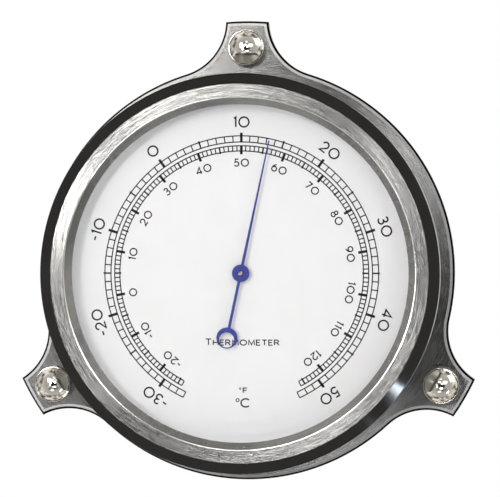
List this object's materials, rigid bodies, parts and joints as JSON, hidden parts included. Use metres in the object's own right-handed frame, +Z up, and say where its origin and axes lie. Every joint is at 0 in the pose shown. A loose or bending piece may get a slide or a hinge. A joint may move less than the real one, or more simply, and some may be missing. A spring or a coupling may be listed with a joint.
{
  "type": "dial thermometer",
  "caption": "Round wall thermometer: a bevelled metal bezel over a white dual-scale dial with a slim pointer, on a brushed back plate with lugs held by knurled dome screws.",
  "frame": {"origin": "centre of the back plate's rear face, on the pointer axis, in the wall plane", "axes": "+Z up, +X to the right of the dial as it is read, the dial faces -Y and +Y goes into the wall"},
  "size_m": [0.1404, 0.043, 0.1415],
  "materials": {
    "brushed_plate": "fine circular brushing, satin, with a polished edge chamfer",
    "case_steel": "turned satin nickel",
    "bezel_metal": "circular-brushed front face between mirror-polished bevels",
    "dark_screw": "black oxide socket screws",
    "gasket": "matt black sheet",
    "clear_glass": "clear flat glass",
    "keeper_plastic": "matt black ring",
    "dial_white": "matt off-white lacquer with thin black print",
    "brass": "lapped brass",
    "bush_bronze": "turned bronze",
    "spring_bronze": "rolled spring bronze",
    "turned_steel": "turned steel",
    "screw_steel": "plated steel",
    "washer_steel": "stamped stainless sheet",
    "bimetal": "rolled bimetal strip, steel on one face and a copper-coloured alloy on the other",
    "arbor_steel": "polished steel, its front end seen in the pointer's hub",
    "pointer_blue": "satin blue lacquer",
    "polished_nickel": "mirror-polished nickel dome above a straight-knurled edge"
  },
  "bodies": {
    "case": {"back_plate": "brushed_plate", "case_drum": "case_steel", "bezel_ring": "bezel_metal", "bezel_grub_screws": "dark_screw", "glass_gasket": "gasket", "glass": "clear_glass", "glass_retaining_ring": "keeper_plastic", "spacer_ring": "dial_white", "dial": "dial_white", "dial_feet": "brass", "dial_foot_nuts": "brass", "movement_plate": "brass", "case_pillars": "turned_steel", "pillar_screws_front": "screw_steel", "pillar_screws_rear": "screw_steel", "drum_screws": "screw_steel", "front_bush": "bush_bronze", "cock_pillars": "brass", "rear_cock": "brass", "cock_screws": "screw_steel"},
    "adjuster": {"adjuster_hub": "brass", "rear_bush": "bush_bronze", "adjuster_arm": "brass", "adjuster_spring_washer": "spring_bronze", "adjuster_clip": "screw_steel", "coil_stud": "brass", "bimetal_coil": "bimetal"},
    "pointer_shaft": {"coil_collet": "brass", "arbor": "arbor_steel", "pointer_bush": "brass", "pointer": "pointer_blue"},
    "washer_top": {"lug_washer_top": "washer_steel"},
    "screw_top": {"lug_screw_top": "polished_nickel"},
    "washer_left": {"lug_washer_left": "washer_steel"},
    "screw_left": {"lug_screw_left": "polished_nickel"},
    "washer_right": {"lug_washer_right": "washer_steel"},
    "screw_right": {"lug_screw_right": "polished_nickel"}
  },
  "joints": [
    {"name": "zero_adjust", "type": "hinge", "parent": "case", "child": "adjuster", "pos_m": [0, -0.008, 0], "axis": [0, 1, 0], "range_deg": [-15, 15]},
    {"name": "pointer_turn", "type": "hinge", "parent": "adjuster", "child": "pointer_shaft", "pos_m": [0, -0.026, 0], "axis": [0, 1, 0], "range_deg": [-166.7, 142.9], "stiffness_Nm_per_rad": 0.0037, "deforming": ["bimetal_coil"]},
    {"name": "top_screw_travel", "type": "slide", "parent": "case", "child": "washer_top", "axis": [0, -1, 0], "range_m": [0, 0.009]},
    {"name": "top_screw_turn", "type": "hinge", "parent": "washer_top", "child": "screw_top", "pos_m": [0, -0.004, 0.0692], "axis": [0, -1, 0], "range_deg": [0, 4629]},
    {"name": "left_screw_travel", "type": "slide", "parent": "case", "child": "washer_left", "axis": [0, -1, 0], "range_m": [0, 0.009]},
    {"name": "left_screw_turn", "type": "hinge", "parent": "washer_left", "child": "screw_left", "pos_m": [-0.05993, -0.004, -0.0346], "axis": [0, -1, 0], "range_deg": [0, 4629]},
    {"name": "right_screw_travel", "type": "slide", "parent": "case", "child": "washer_right", "axis": [0, -1, 0], "range_m": [0, 0.009]},
    {"name": "right_screw_turn", "type": "hinge", "parent": "washer_right", "child": "screw_right", "pos_m": [0.05993, -0.004, -0.0346], "axis": [0, -1, 0], "range_deg": [0, 4629]}
  ],
  "couplings": [
    {"joint": "top_screw_turn", "follows": "top_screw_travel", "rad_per_m": 8976},
    {"joint": "left_screw_turn", "follows": "left_screw_travel", "rad_per_m": 8976},
    {"joint": "right_screw_turn", "follows": "right_screw_travel", "rad_per_m": 8976}
  ]
}
